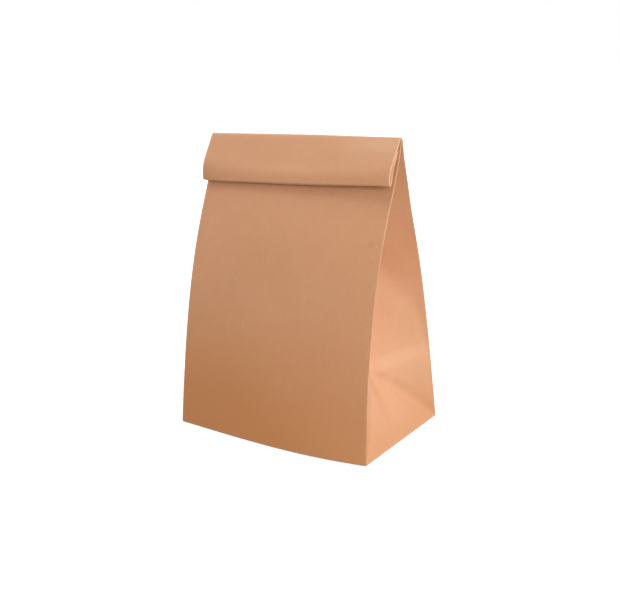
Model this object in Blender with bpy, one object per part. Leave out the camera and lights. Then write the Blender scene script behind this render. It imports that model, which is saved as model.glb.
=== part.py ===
"""Brown paper lunch bag: a gusseted, flat-bottomed kraft sack, closed by rolling its top down in front.

The bag is one folded sheet, so it is one object. Its paper has two panels, front and back, and two side
gussets, each with a crease down its middle that folds inwards as the panels lean together. Above the
block bottom each gusset has the triangle of creases that such a bag is made with. At the top all four
layers lie flat on each other and are rolled forwards: over the top, down the flap, round its lower
edge and up again inside it, where the mouth ends.

Metres, +Z up. The origin is the middle of the base, on the ground; X runs along the width and +Y to
the back. The paper is laid out as rows, which go round the bag, of columns, which go up it.
"""

import math

import bmesh
import bpy
import numpy as np
from mathutils import Matrix, Vector

# Outer size of the standing bag
WIDTH = 0.152
DEPTH = 0.098
HEIGHT = 0.2015

# The sheet
PAPER = 0.00025
LAYER_GAP = 0.00025
FOLD_ROUNDING = 0.0006

# How the panels lean together: slopes at the base and at the top, and the height that each slope rules
LEAN_AT_BASE = 0.097
BASE_LEAN_HEIGHT = 0.140
LEAN_AT_TOP = 0.155
TOP_LEAN_HEIGHT = 0.0455
TOP_SET_BACK = 0.003
BASE_BOW = 0.006
WAIST_INSET = 0.0015

# The roll
ROLL_RADIUS = 0.0016
FLAP_TILT = 35.0
FLAP_STRAIGHT = 0.0185
FLAP_BEND = 31.0
FLAP_BEND_RADIUS = 0.024
ROLL_CLEARANCE = 0.0004
MOUTH_SETBACK = 0.0085

# Fineness of the mesh
PANEL_COLUMNS = 8
GUSSET_COLUMNS = 4
LEANING_ROWS = 10
TURN_STEPS = 6
BEND_STEPS = 4
BISECTIONS = 40
LONGEST_MITRE = 1.75
FLATTEST_MITRE = 0.05

# Kraft paper
PAPER_COLOUR = (0.62, 0.325, 0.185, 1.0)
PAPER_ROUGHNESS = 0.85

LAYER_PITCH = PAPER + LAYER_GAP
HALF_PITCH = LAYER_PITCH / 2
HALF_GUSSET = DEPTH / 2
STACK = 3 * LAYER_PITCH + PAPER
FOLD_X = WIDTH / 2 - PAPER / 2 - HALF_PITCH
SHOULDER_HEIGHT = HEIGHT - ROLL_RADIUS - STACK / 2


def clear_scene():
    """Removes every object that the scene starts with."""
    for thing in list(bpy.data.objects):
        bpy.data.objects.remove(thing)


def half_depth(height):
    """Distance from the middle of the bag to its front and back folds, on one cubic curve from base to top."""
    at_base = DEPTH / 2 - PAPER / 2 - HALF_PITCH
    span = SHOULDER_HEIGHT
    points = (
        (at_base, 0.0),
        (at_base - LEAN_AT_BASE * BASE_LEAN_HEIGHT, BASE_LEAN_HEIGHT),
        (LAYER_PITCH + LEAN_AT_TOP * TOP_LEAN_HEIGHT, span - TOP_LEAN_HEIGHT),
        (LAYER_PITCH, span),
    )

    def on_curve(t, axis):
        a, b, c, d = (point[axis] for point in points)
        s = 1 - t
        return s * s * s * a + 3 * s * s * t * b + 3 * s * t * t * c + t * t * t * d

    low, high = 0.0, 1.0
    for _ in range(BISECTIONS):
        middle = (low + high) / 2
        if on_curve(middle, 1) < height:
            low = middle
        else:
            high = middle
    return on_curve(high, 0)


def set_back(height):
    """How far the middle of the bag stands behind the middle of its base at this height."""
    return TOP_SET_BACK * (height / SHOULDER_HEIGHT) ** 3


def waist(height):
    """How far each side is drawn in at this height by the panels' bulge, most at half height."""
    share = height / SHOULDER_HEIGHT
    return WAIST_INSET * 4 * share * (1 - share)


def crease_inset(height):
    """How far the gusset's middle crease is pushed in, from the paper's own width, which cannot stretch."""
    return math.sqrt(max(HALF_GUSSET**2 - half_depth(height) ** 2, 0.0))


def apex_height():
    """Height of the point where the gusset's creases meet, a half gusset up the paper from the base."""
    return math.sqrt(max(HALF_GUSSET**2 - crease_inset(HALF_GUSSET) ** 2, 0.0))


def panel_columns():
    """Places across a panel, from the left fold to the right one, both left out."""
    edge = FOLD_X - FOLD_ROUNDING
    step = 2 * edge / PANEL_COLUMNS
    return [-edge + step * i for i in range(PANEL_COLUMNS + 1)]


def gusset_columns():
    """Distances across half a gusset, from its fold to its middle crease, both left out."""
    step = HALF_GUSSET / GUSSET_COLUMNS
    inner = [step * i for i in range(1, GUSSET_COLUMNS)]
    return [FOLD_ROUNDING, *inner, HALF_GUSSET - FOLD_ROUNDING]


def gusset_rows():
    """Heights of the rows from the base to the apex, where the slanting creases run from corner to corner."""
    return [0.0, *gusset_columns(), HALF_GUSSET]


def low_gusset_point(across, row):
    """Front half of the right gusset below the apex: a flat triangle on the base, and one on the fold."""
    lean = row / HALF_GUSSET
    inset = crease_inset(HALF_GUSSET) * lean
    height = apex_height() * lean
    if across >= row:
        return Vector((FOLD_X + HALF_PITCH - inset, across - half_depth(0.0), height))
    on_fold = Vector((FOLD_X + HALF_PITCH, -half_depth(row), row))
    on_crease = Vector((FOLD_X + HALF_PITCH - inset, row - half_depth(0.0), height))
    return on_fold.lerp(on_crease, across / row)


def high_gusset_point(across, row):
    """Front half of the right gusset above the apex: straight from its fold to the middle crease."""
    inset = crease_inset(row)
    depth = half_depth(row)
    share = across / HALF_GUSSET
    closed = (inset / HALF_GUSSET) ** 2
    drop = (HALF_GUSSET - apex_height()) * (SHOULDER_HEIGHT - row) / (SHOULDER_HEIGHT - HALF_GUSSET)
    outwards = Vector((depth, inset, 0.0)).normalized()
    point = Vector((FOLD_X - inset * share, depth * (share - 1), row - drop * share))
    folding = 2 * share * closed if across < HALF_GUSSET else closed
    return point + outwards * HALF_PITCH * (1 - folding)


def body_row(row):
    """One row of the standing part: front panel, right gusset, back panel, left gusset."""
    backwards = Vector((0.0, set_back(row), 0.0))
    inwards = Vector((waist(row), 0.0, 0.0))
    bow = BASE_BOW * (1 - row / SHOULDER_HEIGHT)
    plane = half_depth(row) + HALF_PITCH

    def panel(side):
        points = []
        for x in panel_columns():
            bulge = bow * (1 - (x / FOLD_X) ** 2)
            points.append(Vector((x, side * (plane + bulge), row)) - inwards * (x / FOLD_X))
        return points

    def gusset_point(across):
        if row < HALF_GUSSET:
            return low_gusset_point(across, row)
        return high_gusset_point(across, row)

    front_half = [gusset_point(across) for across in gusset_columns()]
    crease = gusset_point(HALF_GUSSET)
    crease.y = 0.0
    turned = Matrix.Diagonal((1.0, -1.0, 1.0))
    back_half = [turned @ point for point in reversed(front_half)]
    fold = Vector((FOLD_X, -half_depth(row), row))
    right = [fold, *front_half, crease, *back_half, turned @ fold]
    right = [point - inwards for point in right]
    half_turn = Matrix.Diagonal((-1.0, -1.0, 1.0))
    left = [half_turn @ point for point in right]
    around = [*panel(-1), *right, *reversed(panel(1)), *left]
    return [point + backwards for point in around]


def stack_row(place, towards_front):
    """One row of the flattened top, at a place on the roll's line; the front panel's layer lies farthest along."""
    layers = []
    for x in panel_columns():
        layers.append((x, 3 * HALF_PITCH))
    half = [(FOLD_X, 2 * HALF_PITCH)]
    half += [(FOLD_X - across, HALF_PITCH) for across in gusset_columns()]
    right = [*half, (FOLD_X - HALF_GUSSET, 0.0), *[(x, -offset) for x, offset in reversed(half)]]
    layers += right
    layers += [(x, -3 * HALF_PITCH) for x in reversed(panel_columns())]
    layers += [(-x, -offset) for x, offset in right]
    return [
        Vector((x, place[0] + offset * towards_front[0], place[1] + offset * towards_front[1]))
        for x, offset in layers
    ]


def roll_rows():
    """Rows of the roll: over the top, down the flap, round its lower edge, and up inside it to the mouth."""
    hairpin_radius = (STACK + ROLL_CLEARANCE) / 2
    inner_radius = FLAP_BEND_RADIUS - 2 * hairpin_radius
    runs = (
        (ROLL_RADIUS, 180.0 - FLAP_TILT, TURN_STEPS),
        (FLAP_STRAIGHT, 0.0, BEND_STEPS),
        (FLAP_BEND_RADIUS, FLAP_BEND, BEND_STEPS),
        (hairpin_radius, 180.0, TURN_STEPS),
        (-inner_radius, -FLAP_BEND, BEND_STEPS),
        (FLAP_STRAIGHT - MOUTH_SETBACK, 0.0, BEND_STEPS),
    )
    y, z = set_back(SHOULDER_HEIGHT), SHOULDER_HEIGHT
    heading = math.pi / 2
    rows = []
    for size, degrees, steps in runs:
        turn = math.radians(degrees) / steps
        for _ in range(steps):
            chord = 2 * size * math.sin(turn / 2) if turn else size / steps
            y += chord * math.cos(heading + turn / 2)
            z += chord * math.sin(heading + turn / 2)
            heading += turn
            rows.append(stack_row((y, z), (-math.sin(heading), math.cos(heading))))
    return rows


def paper_rows():
    """Every row of the sheet, from the base to the mouth, lifted so that the paper's underside is on the ground."""
    heights = gusset_rows()
    step = (SHOULDER_HEIGHT - HALF_GUSSET) / LEANING_ROWS
    heights += [HALF_GUSSET + step * i for i in range(1, LEANING_ROWS)]
    rows = [body_row(height) for height in heights]
    rows.append(stack_row((set_back(SHOULDER_HEIGHT), SHOULDER_HEIGHT), (-1.0, 0.0)))
    rows += roll_rows()
    for point in rows[0]:
        point.z = PAPER / 2
    return rows


def sheet_mesh():
    """The sheet as a surface without thickness, open at the mouth and closed at the base."""
    sheet = bmesh.new()
    rings = [[sheet.verts.new(point) for point in row] for row in paper_rows()]
    count = len(rings[0])
    half = len(panel_columns()) + 2 * len(gusset_columns()) + 3
    gusset_start = len(panel_columns())
    crease = gusset_start + 1 + len(gusset_columns())
    for below, above in zip(rings, rings[1:]):
        for i in range(count):
            j = (i + 1) % count
            if i % half < gusset_start:
                sheet.faces.new((below[i], below[j], above[j], above[i]))
            elif i % half < crease:
                sheet.faces.new((below[i], below[j], above[j]))
                sheet.faces.new((below[i], above[j], above[i]))
            else:
                sheet.faces.new((below[i], below[j], above[i]))
                sheet.faces.new((below[j], above[j], above[i]))
    sheet.faces.new(list(reversed(rings[0])))
    return sheet


def face_offset(vertex):
    """The step from the sheet's middle to its outer face: one unit along each face's normal, or a limited mitre."""
    normals = np.array([face.normal for face in vertex.link_faces])
    step = np.linalg.lstsq(normals, np.ones(len(normals)), rcond=FLATTEST_MITRE)[0]
    offset = Vector(step.tolist())
    if offset.length > LONGEST_MITRE:
        offset *= LONGEST_MITRE / offset.length
    return offset


def thicken(sheet):
    """Gives the sheet the paper's thickness, half to each side, and closes the rim at the mouth."""
    bmesh.ops.triangulate(sheet, faces=[face for face in sheet.faces if len(face.verts) == 4])
    sheet.normal_update()
    sheet.verts.ensure_lookup_table()
    offsets = [face_offset(vertex) * PAPER / 2 for vertex in sheet.verts]
    outer_faces = list(sheet.faces)
    rim = [edge for edge in sheet.edges if edge.is_boundary]
    inner = [sheet.verts.new(vertex.co - offsets[vertex.index]) for vertex in list(sheet.verts)]
    rim_ends = []
    for edge in rim:
        loop = edge.link_loops[0]
        rim_ends.append((loop.vert, loop.link_loop_next.vert))
    for face in outer_faces:
        sheet.faces.new([inner[vertex.index] for vertex in reversed(face.verts)])
    for start, end in rim_ends:
        sheet.faces.new((end, start, inner[start.index], inner[end.index]))
    for vertex, offset in zip(list(sheet.verts), offsets):
        vertex.co += offset


def paper_material():
    """Matt brown kraft paper."""
    material = bpy.data.materials.new("kraft_paper")
    material.use_nodes = True
    shader = material.node_tree.nodes["Principled BSDF"]
    shader.inputs["Base Color"].default_value = PAPER_COLOUR
    shader.inputs["Roughness"].default_value = PAPER_ROUGHNESS
    shader.inputs["Metallic"].default_value = 0.0
    return material


def build_bag():
    """The folded bag as one object."""
    sheet = sheet_mesh()
    thicken(sheet)
    mesh = bpy.data.meshes.new("paper_bag")
    sheet.to_mesh(mesh)
    sheet.free()
    mesh.materials.append(paper_material())
    bag = bpy.data.objects.new("paper_bag", mesh)
    bpy.context.scene.collection.objects.link(bag)
    return bag


clear_scene()
build_bag()
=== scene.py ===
"""Brown paper lunch bag: a block-bottomed kraft sack, folded from one sheet, its top rolled down in front.

The paper is folded here by the same sizes as the solids, but finely: every layer of the roll, the rounded
folds, the creases that the bag was flattened along, and the slight waves of thin paper. Metres, +Z up, the
origin in the middle of the base, the rolled top on the -Y side.
"""

import logging
import math
from dataclasses import dataclass, field
from enum import Enum
from typing import Union

import bpy
import numpy as np
from mathutils import Matrix, Vector


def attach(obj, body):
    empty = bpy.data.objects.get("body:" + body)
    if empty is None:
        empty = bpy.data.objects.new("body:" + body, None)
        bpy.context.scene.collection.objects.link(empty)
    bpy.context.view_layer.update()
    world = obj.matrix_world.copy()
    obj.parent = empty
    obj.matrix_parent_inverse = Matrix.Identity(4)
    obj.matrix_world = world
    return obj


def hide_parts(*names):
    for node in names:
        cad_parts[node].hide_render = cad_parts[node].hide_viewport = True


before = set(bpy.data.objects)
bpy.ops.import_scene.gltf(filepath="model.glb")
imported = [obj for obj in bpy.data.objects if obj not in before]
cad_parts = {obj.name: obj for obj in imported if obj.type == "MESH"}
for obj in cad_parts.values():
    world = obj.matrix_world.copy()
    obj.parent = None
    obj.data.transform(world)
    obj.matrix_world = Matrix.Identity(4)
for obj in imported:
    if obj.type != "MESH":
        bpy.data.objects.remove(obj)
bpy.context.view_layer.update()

BODY = "root"
HIGHLIGHT_AND_WEAR = "painted_highlight_and_wear"
LOW_SHADE = "painted_low_shade"

log = logging.getLogger("paper_bag")


def smoothstep(low: float, high: float, value: np.ndarray) -> np.ndarray:
    """Rises smoothly from 0 at low to 1 at high.

    Args:
        low: Where the rise starts.
        high: Where the rise ends.
        value: Places to read it at.

    Returns:
        The share risen at each place.
    """
    t = np.clip((np.asarray(value, dtype=float) - low) / (high - low), 0.0, 1.0)
    return t * t * (3 - 2 * t)


def hump(value: np.ndarray, middle: float, width: float) -> np.ndarray:
    """A bell of height 1 round a middle."""
    return np.exp(-(((np.asarray(value, dtype=float) - middle) / width) ** 2))


def grid_quads(index: np.ndarray) -> np.ndarray:
    """Quads between the neighbouring points of a grid.

    Args:
        index: The number of each of the grid's points.

    Returns:
        Each quad's four points, by number.
    """
    corners = [index[:-1, :-1], index[:-1, 1:], index[1:, 1:], index[1:, :-1]]
    return np.stack(corners, axis=-1).reshape(-1, 4)


def ring_quads(rows: int, columns: int) -> np.ndarray:
    """Quads between neighbouring rings of a grid that closes on itself round the bag.

    Args:
        rows: Number of rings.
        columns: Number of points in a ring.

    Returns:
        Each quad's four points, by number.
    """
    index = np.arange(rows * columns).reshape(rows, columns)
    return grid_quads(np.hstack([index, index[:, :1]]))


def make_piece(name: str, points: np.ndarray, faces: list[list[int]], flat: int) -> bpy.types.Object:
    """Makes a mesh object, shaded smooth but for its last faces.

    Args:
        name: The piece's name.
        points: Its points.
        faces: Each face's points, by number.
        flat: How many of the last faces are shaded flat.

    Returns:
        The piece.
    """
    mesh = bpy.data.meshes.new(name)
    mesh.from_pydata(points.tolist(), [], faces)
    smooth = np.ones(len(faces), dtype=bool)
    smooth[-flat:] = False
    mesh.polygons.foreach_set("use_smooth", smooth)
    mesh.update()
    piece = bpy.data.objects.new(name, mesh)
    bpy.context.scene.collection.objects.link(piece)
    log.info("%s: %d points, %d faces", name, len(points), len(faces))
    return piece


class Part(Enum):
    """Which stretch of the paper a column belongs to, going round the bag from the front panel."""

    PANEL = 0
    FOLD = 1
    GUSSET = 2
    CREASE = 3


@dataclass
class Ripples:
    """The slight waves that thin paper has, as a sum of long, slow sines with fixed random directions."""

    seed: int
    amplitude: float
    shortest: float
    longest: float
    count: int = 14
    upright: float = 0.6

    def height(self, across: np.ndarray, along: np.ndarray) -> np.ndarray:
        """Height of the waves.

        Args:
            across: Places across the paper.
            along: Places up the paper.

        Returns:
            The waves' height at each place, in metres.
        """
        chance = np.random.default_rng(self.seed)
        total = np.zeros(np.broadcast(across, along).shape)
        for _ in range(self.count):
            length = chance.uniform(self.shortest, self.longest)
            turn = chance.uniform(-math.pi / 2, math.pi / 2) * (1 - self.upright)
            phase = chance.uniform(0, 2 * math.pi)
            run = across * math.cos(turn) + along * math.sin(turn)
            total += np.sin(2 * math.pi * run / length + phase) * length / self.longest
        return total * self.amplitude / math.sqrt(self.count / 2)


@dataclass
class FoldedSheet:
    """The bag's one sheet, from the base to the mouth, as a fine mesh of real thickness.

    Rows go round the bag and columns go up it. The sizes are those of the solids, but the paper is thinner
    and the layers of the roll lie closer.
    """

    width: float = 0.152
    depth: float = 0.098
    height: float = 0.2015
    paper: float = 0.00018
    layer_gap: float = 0.00016
    lean_at_base: float = 0.097
    base_lean_height: float = 0.140
    lean_at_top: float = 0.155
    top_lean_height: float = 0.0455
    top_set_back: float = 0.003
    base_bow: float = 0.006
    waist_inset: float = 0.0015
    base_lift: float = 0.00026
    base_rounding: float = 0.00015
    bow_skew: float = 0.40
    bow_fullness: float = 0.85
    bow_fade: float = 1.4
    front_fullness: float = 0.0030
    front_skew: float = 0.45
    full_height: float = 0.160
    full_reach: float = 0.045
    full_fade: float = 0.030
    roll_radius: float = 0.0012
    flap_tilt: float = 35.0
    flap_straight: float = 0.0185
    flap_bend: float = 31.0
    flap_bend_radius: float = 0.024
    hairpin_radius: float = 0.0009
    hairpin_turn: float = 155.0
    hairpin_run: float = 0.0020
    hairpin_ease_radius: float = 0.006
    hairpin_ease: float = 20.0
    inner_bend: float = 22.0
    inner_bend_radius: float = 0.021
    inner_straight: float = 0.0110
    pinking: float = 0.0009
    panel_step: float = 0.0027
    gusset_step: float = 0.0021
    row_step: float = 0.0020
    crease_blend: float = 0.0030
    slant_blend: float = 0.0120
    slant_blend_run: float = 0.016
    slant_blend_least: float = 0.04
    corner_turn_run: float = 0.004
    valley_half: float = 0.00008
    near_fold: tuple[float, ...] = (0.0004, 0.0009, 0.0016, 0.0026)
    near_base: tuple[float, ...] = (0.0007, 0.0013, 0.0023)
    arc_steps: int = 4
    roll_steps: tuple[int, ...] = (12, 8, 8, 10, 1, 3, 5, 5)
    lean_samples: int = 4001

    half_pitch: float = field(init=False)
    half_gusset: float = field(init=False)
    stack: float = field(init=False)
    fold_x: float = field(init=False)
    shoulder: float = field(init=False)

    def __post_init__(self) -> None:
        """Works out the sizes that follow from the others, and the curve that the panels lean along."""
        pitch = self.paper + self.layer_gap
        self.half_pitch = pitch / 2
        self.half_gusset = self.depth / 2
        self.stack = 3 * pitch + self.paper
        self.fold_x = self.width / 2 - self.paper / 2 - self.half_pitch
        self.shoulder = self.height - self.roll_radius - self.stack / 2
        at_base = self.half_gusset - self.paper / 2 - self.half_pitch
        points = (
            (at_base, 0.0),
            (at_base - self.lean_at_base * self.base_lean_height, self.base_lean_height),
            (pitch + self.lean_at_top * self.top_lean_height, self.shoulder - self.top_lean_height),
            (pitch, self.shoulder),
        )
        t = np.linspace(0, 1, self.lean_samples)[:, None]
        s = 1 - t
        a, b, c, d = (np.array(point) for point in points)
        curve = s**3 * a + 3 * s * s * t * b + 3 * s * t * t * c + t**3 * d
        self._depths, self._heights = curve[:, 0], curve[:, 1]

    def half_depth(self, height: float) -> float:
        """Distance from the middle of the bag to its front and back folds at this height."""
        return float(np.interp(height, self._heights, self._depths))

    def set_back(self, height: float) -> float:
        """How far the bag stands behind the middle of its base at this height."""
        return self.top_set_back * (height / self.shoulder) ** 3

    def bow_share(self, share: np.ndarray, side: int) -> np.ndarray:
        """How much of the base's bow a panel has across it; the front one's is a little to the right.

        Args:
            share: Places across the panel, from -1 to 1.
            side: -1 for the front panel and 1 for the back one.

        Returns:
            The share of the bow at each place.
        """
        skew = self.bow_fullness + self.bow_skew * share if side < 0 else 1.0
        return (1 - share**2) * skew

    def waist(self, height: float) -> float:
        """How far each side is drawn in at this height."""
        share = height / self.shoulder
        return self.waist_inset * 4 * share * (1 - share)

    def crease_inset(self, height: float) -> float:
        """How far the gusset's middle crease is pushed in at this height."""
        return math.sqrt(max(self.half_gusset**2 - self.half_depth(height) ** 2, 0.0))

    def apex_height(self) -> float:
        """Height of the point where the gusset's creases meet."""
        return math.sqrt(self.half_gusset**2 - self.crease_inset(self.half_gusset) ** 2)

    def panel_columns(self) -> np.ndarray:
        """Places across a panel, close together beside its two folds.

        Returns:
            The places, from left to right.
        """
        inner = self.fold_x - self.near_fold[-1]
        count = max(2, round(2 * inner / self.panel_step))
        middle = np.linspace(-inner, inner, count + 1)
        edge = self.fold_x - np.array(self.near_fold[:-1])
        return np.concatenate([-edge, middle, edge[::-1]])

    def gusset_columns(self) -> np.ndarray:
        """Distances across half a gusset, close together beside its fold and its middle crease.

        Returns:
            The distances from the fold.
        """
        near = np.array(self.near_fold)
        first, last = near[-1], self.half_gusset - near[-1]
        count = max(2, round((last - first) / self.gusset_step))
        middle = np.linspace(first, last, count + 1)
        return np.concatenate([near[:-1], middle, (self.half_gusset - near[:-1])[::-1]])

    def upper_side(self, row: float) -> np.ndarray:
        """The right side above the gusset's apex: fold, front half, crease, with the back half mirrored.

        Args:
            row: Height up the fold.

        Returns:
            Points from the front fold to the middle of the crease.
        """
        radius, half = self.half_pitch, self.half_gusset
        depth = self.half_depth(row)
        inset = math.sqrt(max(half**2 + 4 * radius**2 - depth**2, 0.0))
        angle = math.atan2(depth, -inset) + math.atan2(2 * radius, half)
        along = np.array((math.cos(angle), math.sin(angle)))
        out = np.array((along[1], -along[0]))
        fold = np.array((self.fold_x, -depth))
        crease = np.array((self.fold_x - inset, 0.0))
        drop = (half - self.apex_height()) * (self.shoulder - row) / (self.shoulder - half)
        return self._side(row, row - drop, fold, crease, along, out)

    def _side(
        self,
        fold_height: float,
        crease_height: float,
        fold: np.ndarray,
        crease: np.ndarray,
        along: np.ndarray,
        out: np.ndarray,
    ) -> np.ndarray:
        """Fold arc, straight half gusset and half the crease's arc.

        Args:
            fold_height: Height of the fold.
            crease_height: Height of the middle crease.
            fold: The fold's centre, seen from above.
            crease: The middle crease's centre, seen from above.
            along: Direction from the fold to the crease.
            out: Direction that the gusset's outer face looks in.

        Returns:
            The points, from the fold to the crease.
        """
        radius = self.half_pitch
        turn = np.linspace(-math.pi / 2, math.atan2(out[1], out[0]), self.arc_steps + 1)[:, None]
        arc = fold + radius * np.hstack([np.cos(turn), np.sin(turn)])
        across = self.gusset_columns()[:, None]
        line = fold + out * radius + along * across
        back = np.linspace(math.atan2(out[1], out[0]), 0.0, self.arc_steps // 2 + 1)[:, None]
        valley = crease - radius * np.hstack([np.cos(back), np.sin(back)])
        flat = np.vstack([arc, line, valley])
        share = np.concatenate([np.zeros(len(arc)), across[:, 0] / self.half_gusset, np.ones(len(valley))])
        return np.column_stack([flat, fold_height + (crease_height - fold_height) * share])

    def lower_side(self, row: float) -> np.ndarray:
        """The right side below the apex: a flat triangle on the base and one on the fold, softly creased.

        Args:
            row: Height up the fold.

        Returns:
            Points from the front fold to the middle of the gusset.
        """
        half, radius = self.half_gusset, self.half_pitch
        row_up = max(row, 1e-6)
        lean = row_up / half
        inset = self.crease_inset(half) * lean
        height = self.apex_height() * lean
        base_depth = self.half_depth(0.0)
        depth = self.half_depth(row_up)
        across = self.gusset_columns()[:, None]
        face_x = self.fold_x + radius
        across_base = np.full_like(across, face_x - inset)
        on_base = np.hstack([across_base, across - base_depth, np.full_like(across, height)])
        on_fold = np.array((face_x, -depth, row_up))
        on_crease = np.array((face_x - inset, row_up - base_depth, height))
        on_side = on_fold + (on_crease - on_fold) * (across / row_up)
        from_ends = np.minimum(row_up, half - across) / self.slant_blend_run
        soft = self.slant_blend * np.clip(from_ends, self.slant_blend_least, 1.0)
        blend = smoothstep(-1.0, 1.0, (row_up - across) / soft)
        line = on_base * (1 - blend) + on_side * blend
        tangent = (on_crease - on_fold)[:2]
        tangent = tangent / np.linalg.norm(tangent)
        turned = math.atan2(-tangent[0], tangent[1]) * float(smoothstep(0.0, self.corner_turn_run, row_up))
        turn = np.linspace(-math.pi / 2, turned, self.arc_steps + 1)[:, None]
        arc = np.array((self.fold_x, -depth)) + radius * np.hstack([np.cos(turn), np.sin(turn)])
        arc = np.column_stack([arc, np.full(len(arc), row_up)])
        steps = self.arc_steps // 2 + 1
        valley = np.column_stack([
            np.full(steps, face_x - inset),
            np.linspace(-self.valley_half, 0.0, steps),
            np.full(steps, height),
        ])
        return np.vstack([arc, line, valley])

    def body_ring(self, row: float) -> np.ndarray:
        """One ring of the standing part, from the front panel round to the left side.

        Args:
            row: Height up the fold.

        Returns:
            The ring's points.
        """
        band = self.crease_blend
        mix = float(smoothstep(self.half_gusset - band, self.half_gusset + band, row))
        side = self.lower_side(row) * (1 - mix) if mix < 1 else 0.0
        if mix > 0:
            side = side + self.upper_side(row) * mix
        x = self.panel_columns()
        bow = self.base_bow * (1 - row / self.shoulder) ** self.bow_fade
        full = self.front_fullness * hump(row, self.full_height, self.full_reach)
        full = full * (1 - smoothstep(self.shoulder - self.full_fade, self.shoulder, row))
        share = x / self.fold_x
        depth = self.half_depth(row) + self.half_pitch
        drawn_in = x - self.waist(row) * share
        forward = bow * self.bow_share(share, -1) + full * (1 - share**2) * (1 - self.front_skew * share)
        front = np.column_stack([drawn_in, -depth - forward, np.full(len(x), row)])
        back = np.column_stack([-drawn_in, depth + bow * self.bow_share(share, 1), np.full(len(x), row)])
        side[:, 0] -= self.waist(row)
        right = np.vstack([side, side[-2::-1] * (1, -1, 1)])
        ring = np.vstack([front, right, back, right * (-1, -1, 1)])
        ring[:, 1] += self.set_back(row)
        return ring

    def stack_ring(self, place: tuple[float, float], front: tuple[float, float]) -> np.ndarray:
        """One ring of the flattened top.

        Args:
            place: Depth and height of the stack's middle.
            front: Direction in depth and height that the front panel's layer lies in.

        Returns:
            The ring's points.
        """
        radius, half = self.half_pitch, self.half_gusset
        x = self.panel_columns()
        turn = np.linspace(-math.pi / 2, math.pi / 2, self.arc_steps + 1)
        back = np.linspace(math.pi / 2, 0.0, self.arc_steps // 2 + 1)
        across = self.gusset_columns()
        xs = [
            self.fold_x + radius * np.cos(turn),
            self.fold_x - across,
            self.fold_x - half - radius * np.cos(back),
        ]
        offsets = [2 * radius - radius * np.sin(turn), np.full(len(across), radius), radius * np.sin(back)]
        side = np.column_stack([np.concatenate(xs), np.concatenate(offsets)])
        mirrored = side[-2::-1] * (1, -1)
        panel = np.column_stack([x, np.full(len(x), 3 * radius)])
        flat = np.vstack([panel, side, mirrored])
        flat = np.vstack([flat, flat * (-1, -1)])
        return np.column_stack([
            flat[:, 0],
            place[0] + flat[:, 1] * front[0],
            place[1] + flat[:, 1] * front[1],
        ])

    def roll_runs(self) -> list[tuple[float, float, int]]:
        """The roll's line as a chain of arcs and straight runs.

        Returns:
            Radius or length, turn in degrees, and number of steps of each.
        """
        runs = [
            (self.roll_radius, 180.0 - self.flap_tilt),
            (self.flap_straight, 0.0),
            (self.flap_bend_radius, self.flap_bend),
            (self.hairpin_radius, self.hairpin_turn),
            (self.hairpin_run, 0.0),
            (self.hairpin_ease_radius, self.hairpin_ease),
            (-self.inner_bend_radius, -self.inner_bend),
            (self.inner_straight, 0.0),
        ]
        return [(*run, steps) for run, steps in zip(runs, self.roll_steps)]

    def roll_path(self) -> list[tuple[float, float, float]]:
        """The line that the middle of the four layers follows, from the shoulder to the mouth.

        Returns:
            Depth, height and heading of every step.
        """
        y, z, heading = self.set_back(self.shoulder), self.shoulder, math.pi / 2
        path = []
        for size, degrees, steps in self.roll_runs():
            turn = math.radians(degrees) / steps
            for _ in range(steps):
                chord = 2 * size * math.sin(turn / 2) if turn else size / steps
                y += chord * math.cos(heading + turn / 2)
                z += chord * math.sin(heading + turn / 2)
                heading += turn
                path.append((y, z, heading))
        return path

    def row_heights(self) -> np.ndarray:
        """Heights of the standing part's rows, closer together beside the base.

        Returns:
            The heights, upwards.
        """
        first = self.near_base[-1]
        count = round((self.shoulder - first) / self.row_step)
        return np.concatenate([self.near_base[:-1], np.linspace(first, self.shoulder, count + 1)])


@dataclass(frozen=True)
class Hollow:
    """A slanting hollow in a gusset, on one side of its middle crease."""

    across: float
    along: float
    slope: float
    share: float
    width: float = 0.0090
    side: tuple[float, float] = (-0.002, 0.010)

    def depth(self, across: np.ndarray, along: np.ndarray) -> np.ndarray:
        """How deep the hollow is.

        Args:
            across: Places across the gusset, positive towards the back.
            along: Places up it.

        Returns:
            The share of the full depth at each place.
        """
        off = (along - self.along - self.slope * (across - self.across)) / math.hypot(1.0, self.slope)
        this_side = smoothstep(*self.side, math.copysign(1.0, self.across) * across)
        return self.share * hump(off, 0.0, self.width) * this_side


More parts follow.
